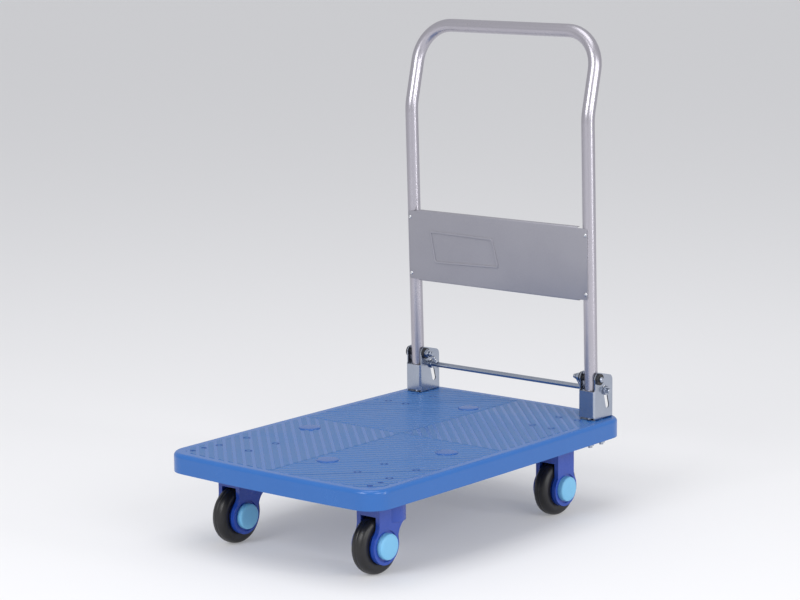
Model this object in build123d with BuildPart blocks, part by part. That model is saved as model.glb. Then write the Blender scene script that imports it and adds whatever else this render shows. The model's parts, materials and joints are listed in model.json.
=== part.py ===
from build123d import *
from math import cos, hypot, radians, sin, sqrt
import os

# Folding platform cart. +Z up, +Y towards the handle end, +X to the right; the origin is on the floor
# under the middle of the deck. All sizes are in millimetres.

# ---- deck: one moulded tray with a turned-down skirt ----
deck_width = 600
deck_length = 900
deck_depth = 42.6            # height of the skirt
deck_plate = 4.5             # thickness of the loading surface
skirt_wall = 4.5
corner_radius = 53
side_bow = 4                 # how far the long sides swell out
end_bow = 9                  # how far the short ends swell out
top_edge_radius = 9
rib_wall = 3
rib_pitch_x = 73
rib_pitch_y = 74
pad_recess = 3.9             # the caster pads lie this far above the skirt's lower edge
boss_radius = 9
dimple_radius = 4.5
dimple_depth = 0.8
dish_radius = 24             # shallow round dishes in the loading surface
dish_depth = 1.2
dish_side_x = 196
dish_side_y = 84
dish_end_x = 37
dish_end_y = 288
corner_mark_x = 250
corner_mark_y = 384
corner_mark_gap = 34

# ---- wheels ----
wheel_diameter = 127
tyre_width = 36
core_radius = 39             # outside of the plastic core, inside of the tyre
core_width = 31
core_web = 7
hub_radius = 20
bearing_radius = 16
bearing_width = 10
axle_radius = 6
running_gap = 0.05           # radial clearance of a shaft that turns in its hole
side_gap = 0.3               # gap between faces that move past each other

# ---- casters ----
caster_height = 172          # floor to the face that bolts to the deck
plate_thickness = 3
fork_half_width = 31
pocket_half_width = 20.5
pocket_clearance = 4         # fork to tyre tread
boss_disc_radius = 40        # round end of a fork leg
cap_radius = 28
cap_reach = 41.7             # outer face of a cap, from the middle of the wheel
cap_wall = 2.5
cap_seat_radius = 33.5
cap_seat_depth = 3
caster_bolt_radius = 4
caster_bolt_depth = 20       # how far a caster bolt reaches into the deck
bolt_head_height = 5
bolt_head_radius = 7.5

front_caster_x = 197.8
front_pin_y = -285
trail = 39.7                 # the front wheels trail this far behind their pins
front_pattern = 86.7         # bolt spacing, square
front_plate_size = 108
crown_radius = 39
crown_top = 150
crown_foot = 110
neck_front = 22              # front edge of the leg, ahead of the axle
neck_back = 63               # rear edge of the leg, behind the axle
king_pin_radius = 6
king_head_radius = 10.5
king_head_height = 6.5
king_head_top = 137
race_radius = 26             # circle of the ball centres
race_half_width = 6.5
race_thickness = 4
ball_radius = 3
ball_count = 18

rear_caster_x = 210
rear_axle_y = 288.3
rear_pattern_x = 52
rear_pattern_y = 100
rear_plate_x = 74
rear_plate_y = 122
rear_leg_half = 30
rear_flange = 8

# ---- handle ----
handle_spacing = 504         # between the centres of the two uprights
tube_radius = 15
tube_wall = 1.5
handle_lean = 1.5            # degrees towards the deck when locked upright
pivot_y = 368
pivot_height = 94.3          # above the deck
foot_drop = 30               # the tube ends this far below the pivot
kink_height = 592            # pivot to the backward bend, along the tube
kink_angle = 15
kink_radius = 110
crook_length = 190           # from the bend to the top bar
crook_radius = 85

panel_low = 179              # above the pivot, along the tube
panel_high = 347
panel_sheet = 1.2
panel_half_width = 257.5
panel_flange_half = 231
panel_flange_depth = 9
panel_notch = 6
rivet_low = 195
rivet_high = 329
rivet_radius = 2.4
rivet_head_radius = 4.2
rivet_head_height = 1.8

# ---- brackets that hold the handle ----
bracket_sheet = 2.5
bracket_side_gap = 4.3       # tube to ear
bracket_front_gap = 0.8      # tube to front wall
ear_setback = 4.3            # the ears' front edges, behind the front wall
seat_recess = 0.4            # the brackets stand this deep in the deck
seat_margin = 0.5            # room round a bracket in its seat
bracket_back = 53            # rear edge of the ears, behind the pivot
wall_height = 67             # top of the front wall, above the deck
wall_gap = 4.5               # gap between the front wall and the base
bend_radius = 5
lobe_radius = 15
ear_fall = 14                # degrees that the top edge of an ear slopes down
ear_corner = 14
bracket_bolt_radius = 5
bracket_bolt_first = 2       # ahead of the pivot
bracket_bolt_second = 41     # behind the pivot
bracket_boss_radius = 13
bracket_boss_drop = 8.5      # boss end, below the skirt's lower edge
bracket_bolt_end = 5         # bolt that shows under its nut

# ---- pivot bolts ----
pivot_radius = 5
bush_radius = 13
bush_flange = 4.5
bush_neck_radius = 8
sleeve_radius = 8
pivot_head_radius = 6.5
pivot_head_height = 6
nut_across = 17
nut_height = 8
washer_thickness = 1.6
washer_radius = 10.5
spring_stub = 10.5           # bolt end that carries the spring

# ---- release bar ----
bar_radius = 6
foot_clearance = 3           # tube to bar when upright
bar_drop = 29                # rest position, below the pivot
slot_tilt = 14.7             # degrees from upright, leaning back as it goes down
bar_travel = 36
slot_spare_top = 6
slot_spare_bottom = 1
slot_gap = 0.3
bar_end = 4

spring_radius = 4.2
spring_wire = 0.7
spring_body = 20

# ---- places worked out from the sizes above ----
wheel_radius = wheel_diameter / 2
deck_bottom = caster_height - pad_recess
deck_top = deck_bottom + deck_depth
plate_bottom = caster_height - plate_thickness
front_axle_y = front_pin_y - trail
hub_width = 2 * (pocket_half_width - side_gap)
pivot_z = deck_top + pivot_height
seat_z = deck_top - seat_recess
handle_x = handle_spacing / 2
bracket_width = 2 * (tube_radius + bracket_side_gap + bracket_sheet)
bracket_front = tube_radius + bracket_front_gap + bracket_sheet
bar_back = tube_radius + bar_radius + foot_clearance
ear_outer = bracket_width / 2
ear_inner = ear_outer - bracket_sheet
boss_end = deck_bottom - bracket_boss_drop
lean = radians(handle_lean)
handle_frame = Plane((0, pivot_y, pivot_z), x_dir=(1, 0, 0), z_dir=(0, -sin(lean), cos(lean)))
slot_down = Vector(0, sin(radians(slot_tilt)), -cos(radians(slot_tilt)))
bar_y = pivot_y + bar_back
bar_z = pivot_z - bar_drop
bracket_bolt_ys = (pivot_y - bracket_bolt_first, pivot_y + bracket_bolt_second)
sides = {"left": -1, "right": 1}


def finish(builder, label):
    """Label a finished piece and write its file."""
    builder.part.label = label
    export_step(builder.part, f"parts/{label}.step")


def on_handle(plane):
    """A plane given in the handle's own axes, placed where the handle stands."""
    return Plane(handle_frame.location * plane.location)


def deck_face(height, inset=0):
    """The deck's outline: a rectangle with swelling sides and round corners."""
    reach_x = deck_width / 2 - inset
    reach_y = deck_length / 2 - inset
    half_x = reach_x - side_bow
    half_y = reach_y - end_bow
    with BuildSketch(Plane.XY.offset(height)) as outline:
        with BuildLine():
            ThreePointArc((-half_x, -half_y), (0, -reach_y), (half_x, -half_y))
            ThreePointArc((half_x, -half_y), (reach_x, 0), (half_x, half_y))
            ThreePointArc((half_x, half_y), (0, reach_y), (-half_x, half_y))
            ThreePointArc((-half_x, half_y), (-reach_x, 0), (-half_x, -half_y))
        make_face()
        fillet(outline.vertices(), corner_radius - inset)
    return outline.sketch


def rod(plane, radius, length, mode=Mode.ADD):
    """A round rod that starts on a plane and runs along its normal."""
    with BuildSketch(plane) as section:
        Circle(radius)
    extrude(section.sketch, amount=length, mode=mode)


def ring(plane, outer, inner, length):
    """A washer, collar or bush on a plane."""
    with BuildSketch(plane) as section:
        Circle(outer)
        Circle(inner, mode=Mode.SUBTRACT)
    extrude(section.sketch, amount=length)


def hexagon(plane, across, length, bore=0):
    """A hexagon head or nut, given across its flats."""
    with BuildSketch(plane) as section:
        RegularPolygon(across / 2, side_count=6, major_radius=False)
        if bore:
            Circle(bore, mode=Mode.SUBTRACT)
    extrude(section.sketch, amount=length)


def across_x(x, y, z, direction=1):
    """A plane that looks along X, at a point."""
    return Plane((x, y, z), x_dir=(0, direction, 0), z_dir=(direction, 0, 0))


def upright(x, y, z, direction=1):
    """A level plane at a point, looking up or down."""
    return Plane((x, y, z), x_dir=(1, 0, 0), z_dir=(0, 0, direction))


def front_bolt_places(side):
    half = front_pattern / 2
    middle = side * front_caster_x
    return [(middle + i * half, front_pin_y + j * half) for i in (-1, 1) for j in (-1, 1)]


def rear_bolt_places(side):
    half_x = rear_pattern_x / 2
    half_y = rear_pattern_y / 2
    middle = side * rear_caster_x
    return [(middle + i * half_x, rear_axle_y + j * half_y) for i in (-1, 1) for j in (-1, 1)]


front_bolts = [place for side in sides.values() for place in front_bolt_places(side)]
rear_bolts = [place for side in sides.values() for place in rear_bolt_places(side)]
bracket_bolts_xy = [(side * handle_x, y) for side in sides.values() for y in bracket_bolt_ys]
corner_marks = [
    (side * corner_mark_x, -corner_mark_y + half * corner_mark_gap / 2)
    for side in sides.values()
    for half in (-1, 1)
]
dishes = [(i * dish_side_x, j * dish_side_y) for i in (-1, 1) for j in (-1, 1)]
dishes += [(dish_end_x, -dish_end_y), (-dish_end_x, dish_end_y)]

os.makedirs("parts", exist_ok=True)

# ---- deck: tray, ribs below, bosses for every bolt, dishes and marks on top ----
with BuildPart() as deck:
    extrude(deck_face(deck_bottom), amount=deck_depth)
    fillet(deck.faces().sort_by(Axis.Z)[-1].edges(), top_edge_radius)
    extrude(deck_face(deck_bottom, skirt_wall), amount=deck_depth - deck_plate, mode=Mode.SUBTRACT)
    rib_top = deck_top - deck_plate
    rib_count_x = int((deck_width - 2 * corner_radius) / rib_pitch_x / 2)
    rib_count_y = int((deck_length - 2 * corner_radius) / rib_pitch_y / 2)
    with BuildSketch(Plane.XY.offset(caster_height)) as ribs:
        with GridLocations(rib_pitch_x, 0, 2 * rib_count_x + 1, 1):
            Rectangle(rib_wall, deck_length)
        with GridLocations(0, rib_pitch_y, 1, 2 * rib_count_y + 1):
            Rectangle(deck_width, rib_wall)
        add(deck_face(caster_height, skirt_wall / 2), mode=Mode.INTERSECT)
    extrude(ribs.sketch, amount=rib_top - caster_height)
    with BuildSketch(Plane.XY.offset(caster_height)) as bosses:
        with Locations(*front_bolts, *rear_bolts):
            Circle(boss_radius)
    extrude(bosses.sketch, amount=rib_top - caster_height)
    with BuildSketch(Plane.XY.offset(boss_end)) as bracket_bosses:
        with Locations(*bracket_bolts_xy):
            Circle(bracket_boss_radius)
    extrude(bracket_bosses.sketch, amount=rib_top - boss_end)
    with BuildSketch(Plane.XY.offset(boss_end)) as bracket_holes:
        with Locations(*bracket_bolts_xy):
            Circle(bracket_bolt_radius)
    extrude(bracket_holes.sketch, amount=deck_top - boss_end, mode=Mode.SUBTRACT)
    with BuildSketch(Plane.XY.offset(caster_height)) as caster_holes:
        with Locations(*front_bolts, *rear_bolts):
            Circle(caster_bolt_radius)
    extrude(caster_holes.sketch, amount=caster_bolt_depth, mode=Mode.SUBTRACT)
    with BuildSketch(Plane.XY.offset(deck_top)) as marks:
        with Locations(*front_bolts, *rear_bolts, *corner_marks):
            Circle(dimple_radius)
    extrude(marks.sketch, amount=-dimple_depth, mode=Mode.SUBTRACT)
    with BuildSketch(Plane.XY.offset(deck_top)) as dish_faces:
        with Locations(*dishes):
            Circle(dish_radius)
    extrude(dish_faces.sketch, amount=-dish_depth, mode=Mode.SUBTRACT)
    with BuildSketch(Plane.XY.offset(deck_top)) as seats:
        seat_y = pivot_y + (bracket_back - bracket_front) / 2
        with Locations(*[(side * handle_x, seat_y) for side in sides.values()]):
            Rectangle(bracket_width + 2 * seat_margin, bracket_front + bracket_back + 2 * seat_margin)
    extrude(seats.sketch, amount=-seat_recess, mode=Mode.SUBTRACT)
finish(deck, "deck")


# ---- brackets: sheet pressed into a channel that is open at the back and the top ----
def ear_profile(side):
    """An ear from the side: round lobe over the pivot, sloping top, round rear corner."""
    fall = radians(ear_fall)
    back = pivot_y + bracket_back
    front = pivot_y - bracket_front
    wall_top = deck_top + wall_height
    neck_y = front + ear_setback
    neck_depth = sqrt(lobe_radius**2 - (pivot_y - neck_y) ** 2)
    lobe_start = (neck_y, pivot_z - neck_depth)
    lobe_middle = (pivot_y - lobe_radius * cos(radians(30)), pivot_z + lobe_radius * sin(radians(30)))
    lobe_end = (pivot_y + lobe_radius * sin(fall), pivot_z + lobe_radius * cos(fall))
    run = back - lobe_end[0]
    rear_top = (back, lobe_end[1] - run * sin(fall) / cos(fall))
    with BuildSketch(Plane.YZ.offset(side * handle_x - ear_outer)) as profile:
        with BuildLine():
            Line((front, seat_z), (front, wall_top))
            RadiusArc((front, wall_top), (neck_y, wall_top + ear_setback), -ear_setback)
            Line((neck_y, wall_top + ear_setback), lobe_start)
            ThreePointArc(lobe_start, lobe_middle, lobe_end)
            Line(lobe_end, rear_top)
            Line(rear_top, (back, seat_z))
            Line((back, seat_z), (front, seat_z))
        make_face()
        fillet(profile.vertices().sort_by_distance((*rear_top, 0))[0], ear_corner)
    return profile.sketch


def make_bracket(side):
    middle = side * handle_x
    front = pivot_y - bracket_front
    back = pivot_y + bracket_back
    wall_top = deck_top + wall_height
    slot_start = Vector(0, bar_y, bar_z) - slot_down * slot_spare_top
    slot_run = bar_travel + slot_spare_top + slot_spare_bottom
    slot_middle = slot_start + slot_down * (slot_run / 2)
    with BuildPart() as bracket:
        extrude(ear_profile(side), amount=bracket_width)
        fillet(bracket.edges().filter_by(Axis.Y).group_by(Axis.Z)[0], bend_radius)
        front_edges = bracket.edges().filter_by(Axis.Z).group_by(Axis.Y)[0]
        fillet(front_edges, bend_radius)
        with BuildSketch(Plane.XY.offset(seat_z + bracket_sheet)) as inside:
            with Locations((middle, (front + bracket_sheet + back) / 2 + bend_radius)):
                Rectangle(2 * ear_inner, back - front - bracket_sheet + 2 * bend_radius)
            near = inside.vertices().group_by(Axis.Y)[0]
            fillet(near, bend_radius - bracket_sheet)
        extrude(inside.sketch, amount=2 * pivot_height, mode=Mode.SUBTRACT)
        with BuildSketch(Plane.XZ.offset(-front)) as over_wall:
            with Locations((middle, wall_top + pivot_height / 2)):
                Rectangle(2 * ear_inner, pivot_height)
        extrude(over_wall.sketch, amount=-2 * bend_radius, mode=Mode.SUBTRACT)
        with BuildSketch(Plane.XZ.offset(-front)) as under_wall:
            with Locations((middle, seat_z + bracket_sheet + wall_gap / 2)):
                Rectangle(bracket_width, wall_gap)
        extrude(under_wall.sketch, amount=-(bracket_sheet + bend_radius / 2), mode=Mode.SUBTRACT)
        with BuildSketch(Plane.YZ.offset(middle - ear_outer)) as holes:
            with Locations((pivot_y, pivot_z)):
                Circle(bush_neck_radius)
            with Locations(Location((slot_middle.Y, slot_middle.Z, 0), 90 + slot_tilt)):
                SlotCenterToCenter(slot_run, 2 * (bar_radius + slot_gap))
        extrude(holes.sketch, amount=bracket_width, mode=Mode.SUBTRACT)
        with BuildSketch(Plane.XY.offset(seat_z)) as bolt_holes:
            with Locations(*[(middle, y) for y in bracket_bolt_ys]):
                Circle(bracket_bolt_radius)
        extrude(bolt_holes.sketch, amount=bracket_sheet, mode=Mode.SUBTRACT)
    return bracket


for name, side in sides.items():
    finish(make_bracket(side), f"handle_bracket_{name}")

# ---- bolts that hold the brackets through the deck ----
with BuildPart() as bracket_bolts:
    for x, y in bracket_bolts_xy:
        bolt_foot = boss_end - washer_thickness - nut_height - bracket_bolt_end
        rod(upright(x, y, bolt_foot), bracket_bolt_radius, seat_z + bracket_sheet - bolt_foot)
        rod(upright(x, y, seat_z + bracket_sheet), bolt_head_radius + 1, bolt_head_height)
finish(bracket_bolts, "bracket_bolts")

with BuildPart() as bracket_washers:
    for x, y in bracket_bolts_xy:
        ring(upright(x, y, boss_end, -1), washer_radius, bracket_bolt_radius, washer_thickness)
finish(bracket_washers, "bracket_washers")

with BuildPart() as bracket_nuts:
    for x, y in bracket_bolts_xy:
        place = upright(x, y, boss_end - washer_thickness, -1)
        hexagon(place, nut_across, nut_height, bracket_bolt_radius)
finish(bracket_nuts, "bracket_nuts")

# ---- pivot: bushes in the ears, bolt from outside, nut on the inner side ----
pivot_outer_end = handle_x + ear_outer + bush_flange
pivot_inner_face = handle_x - ear_outer - bush_flange
pivot_inner_end = pivot_inner_face - washer_thickness - nut_height - spring_stub

bush_starts = {"pivot_bushes_outer": handle_x + ear_inner, "pivot_bushes_inner": handle_x - ear_inner}
for label, start in bush_starts.items():
    outward = 1 if start > handle_x else -1
    with BuildPart() as bushes:
        for side in sides.values():
            facing = side * outward
            neck = across_x(side * start, pivot_y, pivot_z, facing)
            ring(neck, bush_neck_radius, pivot_radius, bracket_sheet)
            flange_x = side * (start + outward * bracket_sheet)
            ring(across_x(flange_x, pivot_y, pivot_z, facing), bush_radius, pivot_radius, bush_flange)
    finish(bushes, label)

with BuildPart() as pivot_bolts:
    for side in sides.values():
        shank = across_x(side * pivot_outer_end, pivot_y, pivot_z, -side)
        rod(shank, pivot_radius, pivot_outer_end - pivot_inner_end)
        head = across_x(side * pivot_outer_end, pivot_y, pivot_z, side)
        rod(head, pivot_head_radius, pivot_head_height)
    ends = pivot_bolts.faces().filter_by(Axis.X).group_by(Axis.X)
    fillet([*ends[0].edges(), *ends[-1].edges()], pivot_head_height / 2)
finish(pivot_bolts, "pivot_bolts")

with BuildPart() as pivot_washers:
    for side in sides.values():
        place = across_x(side * pivot_inner_face, pivot_y, pivot_z, -side)
        ring(place, washer_radius, pivot_radius, washer_thickness)
finish(pivot_washers, "pivot_washers")

with BuildPart() as pivot_nuts:
    for side in sides.values():
        place = across_x(side * (pivot_inner_face - washer_thickness), pivot_y, pivot_z, -side)
        hexagon(place, nut_across, nut_height, pivot_radius)
finish(pivot_nuts, "pivot_nuts")

# ---- handle: one bent tube, a panel riveted to its front, sleeves that turn on the pivot bolts ----
kink = radians(kink_angle)
crook_y = crook_length * sin(kink)
crook_z = kink_height + crook_length * cos(kink)
handle_route = [
    (-handle_x, 0, -foot_drop),
    (-handle_x, 0, kink_height),
    (-handle_x, crook_y, crook_z),
    (handle_x, crook_y, crook_z),
    (handle_x, 0, kink_height),
    (handle_x, 0, -foot_drop),
]
handle_radii = [kink_radius, crook_radius, crook_radius, kink_radius]
rivet_places = [(side * handle_x, z) for side in sides.values() for z in (rivet_low, rivet_high)]

with BuildPart() as handle_tube:
    with BuildLine():
        corners = [handle_frame.from_local_coords(place) for place in handle_route]
        tube_path = FilletPolyline(*corners, radius=handle_radii)
    with BuildSketch(on_handle(Plane.XY.offset(-foot_drop))) as tube_section:
        with Locations((-handle_x, 0)):
            Circle(tube_radius)
            Circle(tube_radius - tube_wall, mode=Mode.SUBTRACT)
    sweep(tube_section.sketch, path=tube_path)
    for side in sides.values():
        start = on_handle(across_x(side * handle_x - 2 * tube_radius, 0, 0))
        rod(start, sleeve_radius, 4 * tube_radius, mode=Mode.SUBTRACT)
    for x, z in rivet_places:
        rivet_hole = on_handle(Plane((x, -2 * tube_radius, z), z_dir=(0, 1, 0)))
        rod(rivet_hole, rivet_radius, 2 * tube_radius, Mode.SUBTRACT)
finish(handle_tube, "handle_tube")

with BuildPart() as handle_sleeves:
    for side in sides.values():
        reach = ear_inner - side_gap
        start = on_handle(across_x(side * handle_x - reach, 0, 0))
        ring(start, sleeve_radius, pivot_radius + running_gap, 2 * reach)
finish(handle_sleeves, "handle_sleeves")

with BuildPart() as handle_panel:
    panel_middle = (panel_low + panel_high) / 2
    panel_height = panel_high - panel_low
    with BuildSketch(on_handle(Plane.XZ.offset(tube_radius))) as sheet:
        with Locations((0, panel_middle)):
            Rectangle(2 * panel_half_width, panel_height)
        chamfer(sheet.vertices(), panel_notch)
    extrude(sheet.sketch, amount=panel_sheet)
    with BuildSketch(on_handle(Plane.XZ.offset(tube_radius))) as flanges:
        with Locations((0, panel_low + panel_sheet / 2), (0, panel_high - panel_sheet / 2)):
            Rectangle(2 * panel_flange_half, panel_sheet)
    extrude(flanges.sketch, amount=-panel_flange_depth)
    for x, z in rivet_places:
        rivet_hole = on_handle(Plane((x, -2 * tube_radius, z), z_dir=(0, 1, 0)))
        rod(rivet_hole, rivet_radius, 2 * tube_radius, Mode.SUBTRACT)
finish(handle_panel, "handle_panel")

with BuildPart() as panel_rivets:
    for x, z in rivet_places:
        head_face = on_handle(Plane((x, -tube_radius - panel_sheet, z), z_dir=(0, 1, 0)))
        rod(head_face, rivet_radius, panel_sheet + 2 * tube_wall)
        rod(head_face, rivet_head_radius, -rivet_head_height)
finish(panel_rivets, "panel_rivets")

# ---- release bar: slides in the slots, held up by a spring at each end ----
bar_face = handle_x + ear_outer + side_gap
bar_half_length = bar_face + washer_thickness + nut_height + bar_end
with BuildPart() as release_bar:
    rod(across_x(-bar_half_length, bar_y, bar_z), bar_radius, 2 * bar_half_length)
    chamfer(release_bar.edges().filter_by(GeomType.CIRCLE), bar_end / 4)
finish(release_bar, "release_bar")

with BuildPart() as release_washers:
    for side in sides.values():
        outer = across_x(side * bar_face, bar_y, bar_z, side)
        inner = across_x(side * (handle_x - ear_outer - side_gap), bar_y, bar_z, -side)
        for place in (outer, inner):
            ring(place, washer_radius, bar_radius, washer_thickness)
finish(release_washers, "release_washers")

with BuildPart() as release_nuts:
    for side in sides.values():
        outer = across_x(side * (bar_face + washer_thickness), bar_y, bar_z, side)
        inner_x = handle_x - ear_outer - side_gap - washer_thickness
        inner = across_x(side * inner_x, bar_y, bar_z, -side)
        for place in (outer, inner):
            hexagon(place, nut_across + 1, nut_height / 2, bar_radius)
finish(release_nuts, "release_nuts")

spring_x = pivot_inner_end + spring_stub / 2
spring_length = hypot(bar_back, bar_drop)
spring_along = (0, bar_back / spring_length, -bar_drop / spring_length)
for name, side in sides.items():
    with BuildPart() as spring:
        top = Plane((side * spring_x, pivot_y, pivot_z), x_dir=(1, 0, 0), z_dir=spring_along)
        body_start = (spring_length - spring_body) / 2
        ring(top.offset(body_start), spring_radius, spring_radius - 2 * spring_wire, spring_body)
        for centre, shaft, facing in ((0, pivot_radius, 1), (spring_length, bar_radius, -1)):
            loop = shaft + side_gap + spring_wire
            eye = top.offset(centre)
            wire_end = Plane(eye.origin + eye.z_dir * loop, x_dir=(1, 0, 0), z_dir=eye.y_dir)
            with BuildSketch(wire_end) as wire:
                Circle(spring_wire)
            revolve(wire.sketch, axis=Axis(eye.origin, (1, 0, 0)), revolution_arc=360)
            leg_end = body_start if facing > 0 else spring_length - body_start - spring_body
            rod(top.offset(centre + facing * loop), spring_wire, facing * (leg_end + 2 - loop))
            rod(top.offset(centre + facing * (leg_end + 1)), spring_radius, facing * 2 * spring_wire)
    finish(spring, f"release_spring_{name}")


# ---- casters ----
def fork_pocket(x, axle_y):
    """Cut the room for the wheel out of a fork."""
    pocket_radius = wheel_radius + pocket_clearance
    with BuildSketch(Plane.YZ.offset(x - pocket_half_width)) as pocket:
        with Locations((axle_y, wheel_radius)):
            Circle(pocket_radius)
    extrude(pocket.sketch, amount=2 * pocket_half_width, mode=Mode.SUBTRACT)


def cap_seats(x, axle_y):
    """Cut the seats for the axle caps, and the axle's hole."""
    for outward in (-1, 1):
        place = across_x(x + outward * fork_half_width, axle_y, wheel_radius, -outward)
        rod(place, cap_seat_radius, cap_seat_depth, mode=Mode.SUBTRACT)
    axle_hole = across_x(x - fork_half_width, axle_y, wheel_radius)
    rod(axle_hole, axle_radius, 2 * fork_half_width, mode=Mode.SUBTRACT)


def make_axle(x, axle_y):
    """A bolt through the fork, with its head and its nut under the caps."""
    seat = fork_half_width - cap_seat_depth
    reach = cap_reach - cap_wall - 1
    with BuildPart() as axle:
        rod(across_x(x - seat, axle_y, wheel_radius), axle_radius, seat + reach)
        head = across_x(x - seat, axle_y, wheel_radius, -1)
        hexagon(head, nut_across + 1, nut_height - 1)
        hexagon(across_x(x + seat, axle_y, wheel_radius), nut_across + 1, nut_height - 1, axle_radius)
    return axle


def make_caps(x, axle_y):
    """Two hollow caps with round edges, one on each side of a fork."""
    seat = fork_half_width - cap_seat_depth
    height = cap_reach - seat
    with BuildPart() as caps:
        for outward in (-1, 1):
            rod(across_x(x + outward * seat, axle_y, wheel_radius, outward), cap_radius, height)
        ends = caps.faces().filter_by(Axis.X).group_by(Axis.X)
        fillet([*ends[0].edges(), *ends[-1].edges()], cap_wall)
        for outward in (-1, 1):
            place = across_x(x + outward * seat, axle_y, wheel_radius, outward)
            rod(place, cap_radius - cap_wall, height - cap_wall, mode=Mode.SUBTRACT)
    return caps


def leg_disc(x, axle_y):
    """The round lower end of both legs."""
    rod(across_x(x - fork_half_width, axle_y, wheel_radius), boss_disc_radius, 2 * fork_half_width)


for name, side in sides.items():
    x = side * front_caster_x
    with BuildPart() as swivel_fork:
        leg_disc(x, front_axle_y)
        with BuildSketch(Plane.YZ.offset(x - fork_half_width)) as leg:
            with BuildLine():
                disc_y = boss_disc_radius * cos(radians(20))
                disc_z = boss_disc_radius * sin(radians(20))
                low_front = (front_axle_y - disc_y, wheel_radius + disc_z)
                low_back = (front_axle_y + disc_y, wheel_radius + disc_z)
                neck_start = (front_axle_y - neck_front, crown_foot)
                neck_end = (front_axle_y + neck_back, crown_foot)
                Line(low_back, low_front)
                Spline(low_front, neck_start, tangents=[(0.35, 1), (0, 1)])
                Line(neck_start, (neck_start[0], crown_top))
                Line((neck_start[0], crown_top), (neck_end[0], crown_top))
                Line((neck_end[0], crown_top), neck_end)
                Spline(neck_end, low_back, tangents=[(-1, -0.3), (-0.2, -1)])
            make_face()
        extrude(leg.sketch, amount=2 * fork_half_width)
        rod(upright(x, front_pin_y, crown_foot), crown_radius, crown_top - crown_foot)
        fork_pocket(x, front_axle_y)
        cap_seats(x, front_axle_y)
        rod(upright(x, front_pin_y, 0), king_head_radius + 2, king_head_top + side_gap, mode=Mode.SUBTRACT)
        rod(upright(x, front_pin_y, 0), king_pin_radius + running_gap, crown_top, mode=Mode.SUBTRACT)
    finish(swivel_fork, f"swivel_fork_{name}")
    finish(make_axle(x, front_axle_y), f"front_axle_{name}")
    finish(make_caps(x, front_axle_y), f"front_axle_caps_{name}")

    with BuildPart() as lower_race:
        outer = race_radius + race_half_width
        inner = race_radius - race_half_width
        ring(upright(x, front_pin_y, crown_top), outer, inner, race_thickness)
        groove_z = crown_top + race_thickness + ball_radius / 2
        with BuildSketch(Plane((x, front_pin_y, groove_z), x_dir=(1, 0, 0), z_dir=(0, -1, 0))) as groove:
            with Locations((race_radius, 0)):
                Circle(ball_radius + side_gap)
        revolve(groove.sketch, axis=Axis((x, front_pin_y, 0), (0, 0, 1)), mode=Mode.SUBTRACT)
    finish(lower_race, f"lower_race_{name}")

    with BuildPart() as plate:
        with BuildSketch(Plane.XY.offset(plate_bottom)) as plate_face:
            with Locations((x, front_pin_y)):
                RectangleRounded(front_plate_size, front_plate_size, boss_radius)
            with Locations(*front_bolt_places(side)):
                Circle(caster_bolt_radius, mode=Mode.SUBTRACT)
            with Locations((x, front_pin_y)):
                Circle(king_pin_radius, mode=Mode.SUBTRACT)
        extrude(plate_face.sketch, amount=plate_thickness)
    finish(plate, f"swivel_plate_{name}")

ball_z = crown_top + race_thickness + ball_radius / 2
with BuildPart() as upper_races:
    for side in sides.values():
        x = side * front_caster_x
        outer = race_radius + race_half_width
        inner = king_pin_radius
        race_low = ball_z + ball_radius / 2
        ring(upright(x, front_pin_y, race_low), outer + 2, inner, plate_bottom - race_low)
        ring(upright(x, front_pin_y, crown_top + 1), outer + 2, outer + side_gap, race_low - crown_top - 1)
        with BuildSketch(Plane((x, front_pin_y, ball_z), x_dir=(1, 0, 0), z_dir=(0, -1, 0))) as groove:
            with Locations((race_radius, 0)):
                Circle(ball_radius)
        revolve(groove.sketch, axis=Axis((x, front_pin_y, 0), (0, 0, 1)), mode=Mode.SUBTRACT)
finish(upper_races, "upper_races")

with BuildPart() as swivel_balls:
    for side in sides.values():
        with Locations((side * front_caster_x, front_pin_y, ball_z)):
            with PolarLocations(race_radius, ball_count):
                Sphere(ball_radius - running_gap)
finish(swivel_balls, "swivel_balls")

with BuildPart() as king_pins:
    for side in sides.values():
        foot = upright(side * front_caster_x, front_pin_y, king_head_top - king_head_height)
        rod(foot, king_pin_radius, caster_height - king_head_top + king_head_height)
        rod(foot, king_head_radius, king_head_height)
finish(king_pins, "king_pins")

with BuildPart() as front_caster_bolts:
    for bolt_x, bolt_y in front_bolts:
        shank_length = plate_thickness + caster_bolt_depth - 1
        rod(upright(bolt_x, bolt_y, plate_bottom), caster_bolt_radius, shank_length)
        hexagon(upright(bolt_x, bolt_y, plate_bottom, -1), 2 * bolt_head_radius - 2, bolt_head_height)
finish(front_caster_bolts, "front_caster_bolts")

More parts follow.
